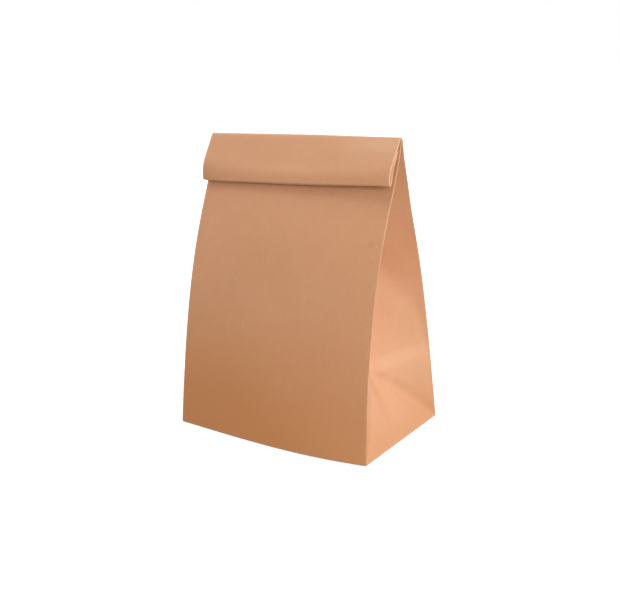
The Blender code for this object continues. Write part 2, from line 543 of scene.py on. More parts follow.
@dataclass(frozen=True)
class GussetRelief:
    """What pressing the bag flat left in its gussets: a ridge, slanting hollows and a soft crease."""

    ridge_height: float = 0.0009
    ridge_above: float = 0.0085
    ridge_below: float = 0.0480
    ridge_ends: float = 0.008
    hollow_depth: float = 0.0010
    hollow_ends: float = 0.006
    hollows: tuple[Hollow, ...] = (Hollow(0.0214, 0.114, -1.48, 1.0), Hollow(-0.0200, 0.104, 1.10, 0.7))
    slant_height: float = 0.0007
    slant_width: float = 0.0120
    slant_ends: float = 0.012
    from_middle: tuple[float, float] = (0.0005, 0.010)
    from_base: tuple[float, float] = (0.001, 0.014)

    def height(self, across: np.ndarray, along: np.ndarray, half: float) -> np.ndarray:
        """How far the paper stands out.

        Args:
            across: Places across the gusset, positive towards the back.
            along: Places up it.
            half: Half the gusset's width.

        Returns:
            The height at each place.
        """
        above = along - half
        to_fold = half - np.abs(across)
        ridge = np.where(above > 0, np.exp(-above / self.ridge_above), np.exp(above / self.ridge_below))
        ridge = ridge * smoothstep(0.0, self.ridge_ends, to_fold)
        hollow = sum(hollow.depth(across, along) for hollow in self.hollows)
        hollow = hollow * smoothstep(0.0, self.hollow_ends, to_fold)
        filled = hump((along - to_fold) / math.sqrt(2), 0.0, self.slant_width)
        filled = filled * smoothstep(0.0, self.slant_ends, to_fold)
        out = self.ridge_height * ridge - self.hollow_depth * hollow + self.slant_height * filled
        return out * smoothstep(*self.from_middle, np.abs(across)) * smoothstep(*self.from_base, along)


@dataclass(frozen=True)
class HighlightsAndWear:
    """How much the paper is lightened, from 0 to 1: painted highlights on folds, creases and the flap,
    painted light on the gussets' insides, and some wear.
    """

    # Painted highlights along the bag's upright folds, stronger higher up, partly fold wear.
    fold: float = 0.10
    fold_highlight: float = 0.45
    fold_highlight_heights: tuple[float, float] = (0.100, 0.170)
    fold_reach: float = 0.0006
    middle: float = 0.35
    middle_heights: tuple[float, float] = (0.040, 0.052)
    middle_reach: float = 0.0009
    base: float = 0.20
    base_reach: float = 0.0010
    # Painted highlight, partly crease wear, in a band round the crease over the block bottom.
    crease: float = 0.32
    crease_rise: float = 0.0040
    crease_above: float = 0.0060
    crease_below: float = 0.0260
    crease_slant: tuple[float, float] = (-0.004, 0.005)
    crease_on_back: float = 0.5
    # Painted highlight over the top of the roll.
    top_turn_highlight: float = 0.30
    top_turn_highlight_reach: float = 0.0016
    # Painted highlight along the flap's lower edge.
    flap_edge_highlight: float = 0.35
    flap_edge_highlight_before: float = 0.0013
    flap_edge_highlight_reach: float = 0.0012
    # Painted light on the insides of the gussets high up, a lighter low band, and painted light round a
    # line near the top.
    gusset_light: float = 0.32
    gusset_light_heights: tuple[float, float] = (0.125, 0.160)
    gusset_light_end: float = 0.012
    low_gusset_lightening: float = 0.13
    low_gusset_lightening_heights: tuple[float, float, float, float] = (0.040, 0.060, 0.080, 0.120)
    high_gusset_light: float = 0.16
    high_gusset_light_height: float = 0.188
    high_gusset_light_reach: float = 0.010
    # Painted sheen on the flap's right end, just below the top of the roll.
    flap_sheen: float = 0.30
    flap_sheen_share: float = 0.90
    flap_sheen_width: float = 0.45
    flap_sheen_after: float = 0.0040
    flap_sheen_reach: float = 0.0060

    def amount(self, bag: "PaperBag") -> np.ndarray:
        """Works out the painted highlights, painted light and wear of every point.

        Args:
            bag: The bag, laid out.

        Returns:
            A share for each point of the bag's grid.
        """
        sheet = bag.sheet
        gusset = bag.wall % 2 == 1
        along = bag.lengths[:, None]
        turned = along - sheet.shoulder
        # Painted highlights along the folds, partly wear; then lighter along the gussets' middle crease and
        # along the base.
        highlit_and_worn = hump(bag.to_fold()[None, :], 0.0, self.fold_reach)
        highlit_and_worn = highlit_and_worn * (self.fold + self.fold_highlight * smoothstep(*self.fold_highlight_heights, along))
        middle = (gusset * hump(bag.place, 0.0, self.middle_reach))[None, :]
        highlit_and_worn = np.maximum(highlit_and_worn, self.middle * middle * smoothstep(*self.middle_heights, along))
        highlit_and_worn = np.maximum(highlit_and_worn, self.base * hump(along, 0.0, self.base_reach))
        highlit_and_worn = np.maximum(highlit_and_worn, self._crease_band_highlight(bag, along))
        # Painted light on the gussets' insides, not on their folds.
        inside = (gusset & (bag.part != Part.FOLD.value))[None, :]
        highlit_and_worn = np.maximum(highlit_and_worn, self._painted_gusset_light(sheet, along) * inside)
        return np.maximum(highlit_and_worn, self._rolled(bag, turned))

    def _crease_band_highlight(self, bag: "PaperBag", along: np.ndarray) -> np.ndarray:
        """Painted highlight, partly crease wear, in a band beside the crease that goes round the block
        bottom, not on the front.

        Args:
            bag: The bag, laid out.
            along: Distance of each row up the paper.

        Returns:
            A share for each point.
        """
        half = bag.sheet.half_gusset
        above = along - half - self.crease_rise
        band = np.where(above > 0, hump(above, 0.0, self.crease_above), hump(above, 0.0, self.crease_below))
        band = self.crease * band * (bag.wall != 0)[None, :]
        over_slant = smoothstep(*self.crease_slant, along - half + np.abs(bag.place)[None, :])
        return np.where((bag.wall % 2 == 1)[None, :], band * over_slant, self.crease_on_back * band)

    def _painted_gusset_light(self, sheet: FoldedSheet, along: np.ndarray) -> np.ndarray:
        """Painted light on the insides of the gussets, high up and round a line near the top, and a lighter
        low band.

        Args:
            sheet: The bag's sheet.
            along: Distance of each row up the paper.

        Returns:
            A share for each row.
        """
        # Painted light high up and near the top; lighter in a low band.
        gusset_light = smoothstep(*self.gusset_light_heights, along)
        gusset_light = gusset_light * (1 - smoothstep(sheet.shoulder - self.gusset_light_end, sheet.shoulder, along))
        low, lower, high, higher = self.low_gusset_lightening_heights
        low_gusset_lightening = smoothstep(low, lower, along) * (1 - smoothstep(high, higher, along))
        high_gusset_light = hump(along, self.high_gusset_light_height, self.high_gusset_light_reach)
        return self.gusset_light * gusset_light + self.low_gusset_lightening * low_gusset_lightening + self.high_gusset_light * high_gusset_light

    def _rolled(self, bag: "PaperBag", turned: np.ndarray) -> np.ndarray:
        """Painted highlights over the top and round the flap's lower edge, and a painted sheen on the
        flap's right end.

        Args:
            bag: The bag, laid out.
            turned: Distance of each row past the shoulder, where the roll starts.

        Returns:
            A share for each point.
        """
        runs = [abs(math.radians(turn) * size) if turn else size for size, turn, _ in bag.sheet.roll_runs()]
        top, low = runs[0], sum(runs[:4])
        # Painted highlights over the roll's top and along the flap's lower edge, and a painted sheen on its
        # right end.
        over_top = self.top_turn_highlight * hump(turned, top / 2, self.top_turn_highlight_reach)
        edge = self.flap_edge_highlight * hump(turned, low - self.flap_edge_highlight_before, self.flap_edge_highlight_reach)
        share = bag.grid[:, :, 0] / bag.sheet.fold_x
        flap_sheen = hump(share, self.flap_sheen_share, self.flap_sheen_width)
        flap_sheen = flap_sheen * hump(turned, top + self.flap_sheen_after, self.flap_sheen_reach)
        return np.maximum(np.maximum(over_top, edge), self.flap_sheen * flap_sheen)


@dataclass(frozen=True)
class PaintedLowShade:
    """How much painted shade darkens the paper low on the bag, less to the right, from 0 to 1."""

    strength: float = 1.05
    less_to_right: float = 0.35
    most: float = 1.2
    height: float = 0.105
    edge: tuple[float, float] = (-0.004, 0.003)
    gusset_strength: float = 0.45
    gusset_height: float = 0.030

    def amount(self, bag: "PaperBag") -> np.ndarray:
        """Works out the painted shade of every point.

        Args:
            bag: The bag, laid out.

        Returns:
            A share for each point of the bag's grid.
        """
        gusset = bag.wall % 2 == 1
        inwards = np.where(gusset, -1.0, 1.0) * bag.to_fold()
        across = np.clip(self.strength - self.less_to_right * bag.place / bag.sheet.fold_x, 0.0, self.most)
        # Painted shade on the panels, darker towards the bottom and the left, and a little on the gussets'
        # feet.
        panels = (1 - smoothstep(0.0, self.height, bag.lengths))[:, None]
        panels = panels * (smoothstep(*self.edge, inwards) * across)[None, :]
        low = self.gusset_strength * (1 - smoothstep(0.0, self.gusset_height, bag.lengths))
        return np.maximum(panels, low[:, None] * gusset[None, :])


@dataclass
class PaperBag:
    """The whole bag: its folded sheet, given the waves, buckles and thickness of real paper."""

    sheet: FoldedSheet = field(default_factory=FoldedSheet)
    relief: GussetRelief = field(default_factory=GussetRelief)
    highlights_and_wear: HighlightsAndWear = field(default_factory=HighlightsAndWear)
    foot_shade: PaintedLowShade = field(default_factory=PaintedLowShade)
    body_seed: int = 11
    panel_waves: float = 0.00022
    panel_wave_lengths: tuple[float, float] = (0.045, 0.130)
    gusset_waves: float = 0.00042
    gusset_wave_lengths: tuple[float, float] = (0.030, 0.090)
    gusset_upright: float = 0.2
    flap_seed: int = 29
    flap_waves: float = 0.00020
    flap_wave_lengths: tuple[float, float] = (0.040, 0.120)
    flap_upright: float = 0.75
    flap_places: tuple[float, ...] = (-1.0, -0.85, -0.6, -0.35, -0.1, 0.17, 0.43, 0.69, 1.0)
    flap_tuck: tuple[float, ...] = (3.2, 3.5, 3.8, 3.7, 3.5, 3.0, 2.2, 1.0, 0.0)
    flap_drop: tuple[float, ...] = (0.044, 0.062, 0.090, 0.088, 0.078, 0.076, 0.054, 0.010, -0.010)
    flap_opening: tuple[float, ...] = (-5.0, -0.5, 6.0, 11.0, 12.0, 11.5, 9.5, 5.0, 0.0)
    flap_degree: int = 5
    flap_low: tuple[float, float] = (-0.004, 0.007)
    left_draw: float = 0.0005
    left_draw_heights: tuple[float, float] = (0.150, 0.200)
    right_sag: float = 0.0008
    right_sag_heights: tuple[float, float] = (0.100, 0.200)
    back_bulge: float = 0.0018
    back_bulge_height: float = 0.176
    back_bulge_reach: float = 0.019
    waves_from_base: float = 0.020
    waves_to_shoulder: tuple[float, float] = (0.040, 0.004)
    waves_from_middle: tuple[float, float] = (0.0005, 0.012)
    waves_from_roll: tuple[float, float] = (0.005, 0.018)
    hidden_run: tuple[float, float] = (0.034, 0.044)
    hidden_waves: float = 0.15
    base_steps: int = 2
    base_step_length: float = 0.0001

    def lay_out(self) -> None:
        """Works out every ring of the paper's middle surface, and where on the sheet each point is."""
        sheet = self.sheet
        rings, lengths = [], []
        wall = sheet.body_ring(0.0)
        tangent = (np.roll(wall, -1, axis=0) - np.roll(wall, 1, axis=0))[:, :2]
        tangent /= np.linalg.norm(tangent, axis=1)[:, None]
        outward = np.column_stack([tangent[:, 1], -tangent[:, 0], np.zeros(len(wall))])
        floor = sheet.base_lift + sheet.paper / 2
        for k in range(self.base_steps):
            angle = math.pi / 2 * k / self.base_steps
            ring = wall - outward * sheet.base_rounding * (1 - math.sin(angle))
            ring[:, 2] = floor + sheet.base_rounding * (1 - math.cos(angle))
            rings.append(ring)
            lengths.append(self.base_step_length * k)
        for row in sheet.row_heights():
            ring = sheet.body_ring(row)
            ring[:, 2] += floor * (1 - row / sheet.shoulder)
            rings.append(ring)
            lengths.append(row)
        self.body_rows = len(rings)
        length, fronts = lengths[-1], []
        last = (sheet.set_back(sheet.shoulder), sheet.shoulder)
        for y, z, heading in sheet.roll_path():
            front = (-math.sin(heading), math.cos(heading))
            rings.append(sheet.stack_ring((y, z), front))
            length += math.hypot(y - last[0], z - last[1])
            last = (y, z)
            lengths.append(length)
            fronts.append(front)
        self.grid = np.array(rings)
        self.lengths = np.array(lengths)
        self.fronts = np.array(fronts)

    def settle(self) -> None:
        """Lets the roll hang as a hand left it, and the back stand out a little just below it."""
        sheet = self.sheet
        roll = self.grid[self.body_rows:]
        share = roll[:, :, 0] / sheet.fold_x
        middle = np.array((sheet.set_back(sheet.shoulder), sheet.shoulder))
        bend = middle + sheet.flap_straight * np.array((-math.sin(self.tilt), -math.cos(self.tilt)))
        low = smoothstep(*self.flap_low, bend[1] - roll[:, :, 2])
        self.swing(roll, bend, -self.along_flap(self.flap_opening, share) * low)
        roll[:, :, 2] += np.minimum(roll[:, :, 2] - middle[1], 0.0) * self.along_flap(self.flap_drop, share)
        self.swing(roll, middle, self.along_flap(self.flap_tuck, share))
        share = self.grid[:, :, 0] / sheet.fold_x
        height = self.grid[:, :, 2]
        drawn = smoothstep(0.0, 1.0, -share) * smoothstep(*self.left_draw_heights, height)
        sagged = smoothstep(0.0, 1.0, share) * smoothstep(*self.right_sag_heights, height)
        self.grid[:, :, 0] += self.left_draw * drawn
        self.grid[:, :, 2] -= self.right_sag * sagged
        body = self.grid[:self.body_rows]
        bulge = hump(body[:, :, 2], self.back_bulge_height, self.back_bulge_reach)
        body[:, :, 1] += self.back_bulge * bulge * self.to_back[None, :]

    @property
    def tilt(self) -> float:
        """How far the flap leans out from upright, in radians."""
        return math.radians(self.sheet.flap_tilt)

    def along_flap(self, values: tuple[float, ...], share: np.ndarray) -> np.ndarray:
        """A smooth curve through values that are given at places along the flap.

        Args:
            values: One value for each of the flap's places.
            share: Where to read the curve, from -1 at the left end to 1 at the right.

        Returns:
            The curve's value at each place.
        """
        return np.polyval(np.polyfit(self.flap_places, values, self.flap_degree), np.clip(share, -1, 1))

    @staticmethod
    def swing(points: np.ndarray, centre: np.ndarray, degrees: np.ndarray) -> None:
        """Turns points about a line across the bag; a positive angle takes hanging paper to the back.

        Args:
            points: The points, changed in place.
            centre: Depth and height of the line.
            degrees: The angle for each point.
        """
        angle = np.radians(degrees)
        y, z = points[:, :, 1] - centre[0], points[:, :, 2] - centre[1]
        points[:, :, 1] += y * (np.cos(angle) - 1) - z * np.sin(angle)
        points[:, :, 2] += y * np.sin(angle) + z * (np.cos(angle) - 1)

    def name_columns(self) -> None:
        """Says of each column which part of the paper it is on, which wall, and how far across it."""
        sheet = self.sheet
        x = sheet.panel_columns()
        across = sheet.gusset_columns()
        arc, valley = sheet.arc_steps + 1, sheet.arc_steps // 2 + 1
        front_half = [(Part.FOLD, -sheet.half_gusset)] * arc
        front_half += [(Part.GUSSET, a - sheet.half_gusset) for a in across]
        front_half += [(Part.CREASE, 0.0)] * valley
        side = front_half + [(part, -place) for part, place in front_half[-2::-1]]
        first = [(Part.PANEL, place, 0) for place in x] + [(*entry, 1) for entry in side]
        second = [(part, place, wall + 2) for part, place, wall in first]
        columns = first + second
        self.part = np.array([entry[0].value for entry in columns])
        self.place = np.array([entry[1] for entry in columns])
        self.wall = np.array([entry[2] for entry in columns])
        self.half_count = len(first)
        across = (self.place / sheet.half_gusset + 1) / 2
        choices = [self.wall == 0, self.wall == 1, self.wall == 2]
        self.to_back = np.select(choices, [0.0, across, 1.0], 1 - across)

    def faces(self) -> np.ndarray:
        """Quads of the middle surface, walls first and then the base, each facing outwards.

        Returns:
            Each quad's four points, by number.
        """
        rows, columns = self.grid.shape[:2]
        return np.vstack([ring_quads(rows, columns), self.base_faces(rows * columns)])

    def base_faces(self, start: int) -> np.ndarray:
        """Makes the base's own grid inside its edge, and returns its quads.

        Args:
            start: Number of points made before the base's.

        Returns:
            The base's quads.
        """
        sheet = self.sheet
        edge = self.grid[0]
        panel, half, total = len(sheet.panel_columns()), self.half_count, 2 * self.half_count
        corner = [panel + sheet.arc_steps // 2, half - 1 - sheet.arc_steps // 2]
        corner += [half + corner[0], half + corner[1]]
        across, deep = (corner[0] - corner[3]) % total + 1, corner[1] - corner[0] + 1
        near = [(corner[3] + i) % total for i in range(across)]
        far = [corner[2] - i for i in range(across)]
        right = [corner[0] + j for j in range(deep)]
        left = [corner[3] - j for j in range(deep)]
        s = self._shares(edge[near])[:, None, None]
        t = self._shares(edge[right])[None, :, None]
        fill = (1 - t) * edge[near][:, None] + t * edge[far][:, None]
        fill = fill + (1 - s) * edge[left][None] + s * edge[right][None]
        ends = (1 - s) * (1 - t) * edge[near[0]] + s * (1 - t) * edge[near[-1]]
        fill = fill - ends - (1 - s) * t * edge[far[0]] - s * t * edge[far[-1]]
        index = np.zeros((across, deep), dtype=int)
        index[:, 0], index[:, -1], index[0, :], index[-1, :] = near, far, left, right
        inner = (across - 2) * (deep - 2)
        index[1:-1, 1:-1] = start + np.arange(inner).reshape(across - 2, deep - 2)
        self.base_points = fill[1:-1, 1:-1].reshape(-1, 3)
        return grid_quads(index)

    @staticmethod
    def _shares(line: np.ndarray) -> np.ndarray:
        """How far along a line its points are.

        Args:
            line: The line's points.

        Returns:
            The share of the line before each point, from 0 to 1.
        """
        steps = np.linalg.norm(np.diff(line, axis=0), axis=1)
        run = np.concatenate([[0.0], np.cumsum(steps)])
        return run / run[-1]

    @staticmethod
    def normals(points: np.ndarray, quads: np.ndarray) -> np.ndarray:
        """The mean direction of the faces round each point.

        Args:
            points: The surface's points.
            quads: Its quads.

        Returns:
            A direction of length 1 for each point.
        """
        a, b, c, d = (points[quads[:, i]] for i in range(4))
        face = np.cross(c - a, d - b)
        face /= np.maximum(np.linalg.norm(face, axis=1), 1e-20)[:, None]
        total = np.zeros_like(points)
        for i in range(4):
            np.add.at(total, quads[:, i], face)
        return total / np.maximum(np.linalg.norm(total, axis=1), 1e-12)[:, None]

    @staticmethod
    def triangles(points: np.ndarray, quads: np.ndarray) -> np.ndarray:
        """Splits quads along their shorter diagonal, so that both faces of the paper are split alike.

        Args:
            points: The middle surface's points.
            quads: Its quads.

        Returns:
            Two triangles for each quad.
        """
        first = np.linalg.norm(points[quads[:, 0]] - points[quads[:, 2]], axis=1)
        second = np.linalg.norm(points[quads[:, 1]] - points[quads[:, 3]], axis=1)
        turned = np.where((first <= second)[:, None], quads, np.roll(quads, -1, axis=1))
        return np.vstack([turned[:, [0, 1, 2]], turned[:, [0, 2, 3]]])

    def ripple(self) -> None:
        """Moves the standing part's paper by its waves, and the roll's four layers together by theirs."""
        sheet = self.sheet
        rows, columns = self.grid.shape[:2]
        normal = self.normals(self.grid.reshape(-1, 3), ring_quads(rows, columns))
        normal = normal.reshape(rows, columns, 3)
        body = slice(0, self.body_rows)
        along = self.lengths[body, None]
        shift = np.zeros((self.body_rows, columns))
        high, highest = (sheet.shoulder - below for below in self.waves_to_shoulder)
        rise = smoothstep(0.0, self.waves_from_base, along) * (1 - smoothstep(high, highest, along))
        for wall in range(4):
            here = self.wall == wall
            panel = wall % 2 == 0
            reach = sheet.fold_x if panel else sheet.half_gusset
            across = self.place[here][None, :]
            edge = 1 - np.abs(across / reach) ** 6
            if panel:
                waves = Ripples(self.body_seed + wall, self.panel_waves, *self.panel_wave_lengths)
            else:
                waves = Ripples(
                    self.body_seed + wall,
                    self.gusset_waves,
                    *self.gusset_wave_lengths,
                    upright=self.gusset_upright,
                )
                edge = edge * smoothstep(*self.waves_from_middle, np.abs(across))
            shift[:, here] = waves.height(across, along) * edge * rise
            if not panel:
                backwards = across if wall == 1 else -across
                shift[:, here] += self.relief.height(backwards, along, sheet.half_gusset)
        self.grid[body] += normal[body] * shift[:, :, None]
        roll = slice(self.body_rows, rows)
        x = self.grid[roll, :, 0]
        run = self.lengths[roll, None] - sheet.shoulder
        waves = Ripples(self.flap_seed, self.flap_waves, *self.flap_wave_lengths, upright=self.flap_upright)
        lift = waves.height(x, run) * smoothstep(*self.waves_from_roll, run)
        lift = lift * (1 - (1 - self.hidden_waves) * smoothstep(*self.hidden_run, run))
        self.grid[roll, :, 1] += lift * self.fronts[:, None, 0]
        self.grid[roll, :, 2] += lift * self.fronts[:, None, 1]

    def to_fold(self) -> np.ndarray:
        """How far each column is from the nearest of the bag's four upright folds.

        Returns:
            A distance for each column.
        """
        reach = np.where(self.wall % 2 == 0, self.sheet.fold_x, self.sheet.half_gusset)
        return np.where(self.part == Part.FOLD.value, 0.0, reach - np.abs(self.place))

    def pink_mouth(self) -> None:
        """Cuts the mouth's edge in small teeth, as bag paper is cut."""
        teeth = np.where(np.arange(self.grid.shape[1]) % 2 == 0, 1.0, -1.0)[:, None]
        along = self.grid[-1] - self.grid[-2]
        along = along / np.linalg.norm(along, axis=1)[:, None]
        self.grid[-1] += along * teeth * self.sheet.pinking

    def build(self) -> bpy.types.Object:
        """Folds, ripples and thickens the paper.

        Returns:
            The bag as one closed mesh.
        """
        self.name_columns()
        self.lay_out()
        self.settle()
        self.ripple()
        self.pink_mouth()
        quads = self.faces()
        middle = np.vstack([self.grid.reshape(-1, 3), self.base_points])
        step = self.normals(middle, quads) * self.sheet.paper / 2
        count = len(middle)
        rows, columns = self.grid.shape[:2]
        mouth = np.arange((rows - 1) * columns, rows * columns)
        after = np.roll(mouth, -1)
        rim = np.stack([mouth, after, after + count, mouth + count], axis=-1)
        points = np.vstack([middle + step, middle - step])
        sheet_faces = self.triangles(middle, quads)
        every = [*sheet_faces.tolist(), *(sheet_faces[:, ::-1] + count).tolist(), *rim.tolist()]
        bag = make_piece("folded_bag", points, every, len(rim))
        # Painted highlights and painted light, with some wear, are kept per point for the material to
        # lighten the paper.
        highlight_and_wear_share = np.concatenate([self.highlights_and_wear.amount(self).ravel(), np.zeros(len(self.base_points))])
        # Painted shade low on the bag, stronger to the left, is kept per point for the material.
        foot_shading = np.concatenate([self.foot_shade.amount(self).ravel(), np.ones(len(self.base_points))])
        for name, values in ((HIGHLIGHT_AND_WEAR, highlight_and_wear_share), (LOW_SHADE, foot_shading)):
            attribute = bag.data.attributes.new(name, "FLOAT", "POINT")
            attribute.data.foreach_set("value", np.concatenate([values, values]))
        return bag


@dataclass
class BottomFlaps:
    """The two flaps that are folded over the bottom and glued, the back one over the front one."""

    sheet: FoldedSheet
    paper: float = 0.00012
    inset: float = 0.0011
    lap: float = 0.0130
    end_slant: float = 0.98
    clearance: float = 0.00001
    step_down: float = 0.012
    columns: int = 40
    rows: int = 26

    def build_flap(self, name: str, side: int, reach: float, low_from: float) -> bpy.types.Object:
        """One flap: a sheet from the panel's bottom edge inwards, its ends cut at a slant.

        Args:
            name: The piece's name.
            side: 1 for the back flap and -1 for the front one.
            reach: How far it reaches past the middle line.
            low_from: Distance from its hinge at which it is down on the ground side, or 0 for all of it up.

        Returns:
            The flap as one closed mesh.
        """
        hinge = self.sheet.half_depth(0.0) + self.sheet.half_pitch - self.inset
        share_x = np.linspace(-1, 1, self.columns + 1)[None, :]
        share_y = np.linspace(0, 1, self.rows + 1)[:, None]
        x_half = self.sheet.fold_x - self.inset
        bow = self.sheet.base_bow * self.sheet.bow_share(share_x * side, side) * (1 - share_y)
        distance = share_y * (hinge + reach)
        x = share_x * (x_half - distance * self.end_slant)
        y = side * (hinge - distance + bow)
        high = self.sheet.base_lift - self.paper / 2 - self.clearance
        low = self.paper / 2
        down = np.zeros_like(x)
        if low_from:
            down = down + smoothstep(low_from - self.step_down, low_from, distance)
        z = high + (low - high) * down
        points = np.stack([x, y, z], axis=-1)
        points[..., 0] *= side
        count = points.shape[0] * points.shape[1]
        index = np.arange(count).reshape(points.shape[:2])
        quads = grid_quads(index)
        edge = np.concatenate([index[0, :-1], index[:-1, -1], index[-1, :0:-1], index[:0:-1, 0]])
        after = np.roll(edge, -1)
        rim = np.stack([after, edge, edge + count, after + count], axis=-1)
        flat = points.reshape(-1, 3)
        lift = np.array((0.0, 0.0, self.paper / 2))
        both_faces = np.vstack([flat - lift, flat + lift])
        every = np.vstack([quads, quads[:, ::-1] + count, rim]).tolist()
        return make_piece(name, both_faces, every, len(rim))

    def build(self) -> list[bpy.types.Object]:
        """Builds both flaps.

        Returns:
            The front flap and the back one.
        """
        hinge = self.sheet.half_depth(0.0)
        return [
            self.build_flap("bottom_flap_front", -1, self.lap, 0.0),
            self.build_flap("bottom_flap_back", 1, self.lap, hinge - self.lap),
        ]


Colour = tuple[float, float, float, float]
Number = Union["Wire", float]
Paint = Union["Wire", Colour]


class Wire:
    """An output in a graph's nodes, on which sums are written as Python expressions."""

    def __init__(self, graph: "Graph", socket: bpy.types.NodeSocket) -> None:
        """Keeps the socket and the graph that it is in."""
        self.graph = graph
        self.socket = socket

    def _math(self, operation: str, first: Number, second: Number) -> "Wire":
        """One Math node."""
        return self.graph.node("ShaderNodeMath", {"operation": operation}, {0: first, 1: second})["Value"]

    def __add__(self, other: Number) -> "Wire":
        """self + other."""
        return self._math("ADD", self, other)

    def __radd__(self, other: Number) -> "Wire":
        """other + self."""
        return self._math("ADD", other, self)

    def __sub__(self, other: Number) -> "Wire":
        """self - other."""
        return self._math("SUBTRACT", self, other)

    def __rsub__(self, other: Number) -> "Wire":
        """other - self."""
        return self._math("SUBTRACT", other, self)

    def __mul__(self, other: Number) -> "Wire":
        """self * other."""
        return self._math("MULTIPLY", self, other)

    def __rmul__(self, other: Number) -> "Wire":
        """other * self."""
        return self._math("MULTIPLY", other, self)

    def __abs__(self) -> "Wire":
        """The size of self."""
        return self._math("ABSOLUTE", self, 0.0)

    def rise(self, low: float, high: float) -> "Wire":
        """Rises smoothly from 0 where self is low to 1 where it is high.

        Args:
            low: Where the rise starts.
            high: Where the rise ends.

        Returns:
            The share risen.
        """
        settings = {"interpolation_type": "SMOOTHSTEP"}
        inputs = {"Value": self, "From Min": low, "From Max": high}
        return self.graph.node("ShaderNodeMapRange", settings, inputs)["Result"]


class Outputs:
    """A made node's outputs, by name."""

    def __init__(self, graph: "Graph", node: bpy.types.Node) -> None:
        """Keeps the node and the graph that it is in."""
        self.graph = graph
        self.node = node

    def __getitem__(self, name: str) -> Wire:
        """The output of that name that is in use.

        Args:
            name: The output's name.

        Returns:
            The output.

        Raises:
            KeyError: No output in use has that name.
        """
        for socket in self.node.outputs:
            if socket.name == name and socket.enabled:
                return Wire(self.graph, socket)
        raise KeyError(name)


class Graph:
    """The node tree of a material or a world, empty at first."""

    def __init__(self, owner: bpy.types.Material | bpy.types.World) -> None:
        """Clears the owner's nodes.

        Args:
            owner: The material or world.
        """
        self.owner = owner
        owner.use_nodes = True
        self.tree = owner.node_tree
        self.tree.nodes.clear()

    @classmethod
    def for_material(cls, name: str) -> "Graph":
        """The graph of a new material."""
        return cls(bpy.data.materials.new(name))

    def node(
        self,
        kind: str,
        settings: dict[str, object] | None = None,
        inputs: dict[str | int, object] | None = None,
    ) -> Outputs:
        """Makes one node.

        Args:
            kind: The node's type.
            settings: Its properties, set first.
            inputs: Values or wires of its sockets, by name or number.

        Returns:
            The node's outputs.
        """
        made = self.tree.nodes.new(kind)
        for key, value in (settings or {}).items():
            setattr(made, key, value)
        usable = {}
        for socket in made.inputs:
            if socket.enabled:
                usable.setdefault(socket.name, socket)
        for key, value in (inputs or {}).items():
            socket = made.inputs[key] if isinstance(key, int) else usable[key]
            if isinstance(value, Wire):
                self.tree.links.new(value.socket, socket)
            else:
                socket.default_value = value
        return Outputs(self, made)

    def mix_colour(self, share: Number, first: Paint, second: Paint) -> Wire:
        """The colour that is a share of the way from the first to the second."""
        settings = {"data_type": "RGBA", "blend_type": "MIX", "clamp_factor": True}
        return self.node("ShaderNodeMix", settings, {"Factor": share, "A": first, "B": second})["Result"]

    def stretch(self, vector: Wire, scale: tuple[float, float, float]) -> Wire:
        """A vector multiplied by a scale on each axis."""
        return self.node("ShaderNodeVectorMath", {"operation": "MULTIPLY"}, {0: vector, 1: scale})["Vector"]

    def noise(
        self,
        vector: Wire,
        scale: float,
        detail: float = 2.0,
        roughness: float = 0.5,
        bend: float = 0.0,
    ) -> Wire:
        """Noise from 0 to 1 round 0.5.

        Args:
            vector: Where to read it.
            scale: How fine it is, in lumps in a metre.
            detail: How many finer layers it has.
            roughness: How strong the finer layers are.
            bend: How much it is bent.

        Returns:
            The noise.
        """
        inputs = {"Vector": vector, "Scale": scale, "Detail": detail, "Roughness": roughness}
        inputs["Distortion"] = bend
        return self.node("ShaderNodeTexNoise", {"noise_dimensions": "3D"}, inputs)["Fac"]

    def painted(self, name: str) -> Wire:
        """The mesh's attribute of that name."""
        settings = {"attribute_name": name, "attribute_type": "GEOMETRY"}
        return self.node("ShaderNodeAttribute", settings)["Fac"]

    def watched(self) -> Wire:
        """Tells rays that look at the background from light that bounces.

        Returns:
            1 for a ray from the camera, a reflection or clear matter, and otherwise 0.
        """
        path = self.node("ShaderNodeLightPath")
        seen = path["Is Camera Ray"] + path["Is Glossy Ray"] + path["Is Transmission Ray"]
        return self.node("ShaderNodeMath", {"operation": "MINIMUM"}, {0: seen, 1: 1.0})["Value"]

    def finish(self, shader: Wire) -> bpy.types.Material | bpy.types.World:
        """Joins the shader to the output.

        Args:
            shader: What the surface or the world shows.

        Returns:
            The material or world.
        """
        owner_kind = "World" if isinstance(self.owner, bpy.types.World) else "Material"
        self.node("ShaderNodeOutput" + owner_kind, None, {"Surface": shader})
        return self.owner


@dataclass(frozen=True)
class Unevenness:
    """One scale of unevenness in the paper, and how much it counts."""

    scale: float
    detail: float
    roughness: float
    share: float

    def read(self, graph: Graph, place: Wire, bend: float = 0.0) -> Wire:
        """The noise itself, from 0 to 1 round 0.5."""
        return graph.noise(place, self.scale, self.detail, self.roughness, bend)


@dataclass(frozen=True)
class Fibres:
    """Thin broken curved lines, where a bent noise passes its middle."""

    scale: float
    width: float
    share: float
    turn: tuple[float, float, float] = (1.0, 1.0, 1.0)
    detail: float = 1.0
    roughness: float = 0.4
    bend: float = 1.6
    gap_scale: float = 0.7
    gaps: tuple[float, float] = (0.52, 0.62)

    def mask(self, graph: Graph, place: Wire) -> Wire:
        """Draws the fibres.

        Args:
            graph: The material's graph.
            place: Where to read the noise.

        Returns:
            A mask that is 1 on the fibres.
        """
        place = graph.stretch(place, self.turn)
        bent = graph.noise(place, self.scale, self.detail, self.roughness, self.bend)
        line = 1.0 - abs(bent - 0.5).rise(0.0, self.width)
        return line * graph.noise(place, self.scale * self.gap_scale, self.detail).rise(*self.gaps)


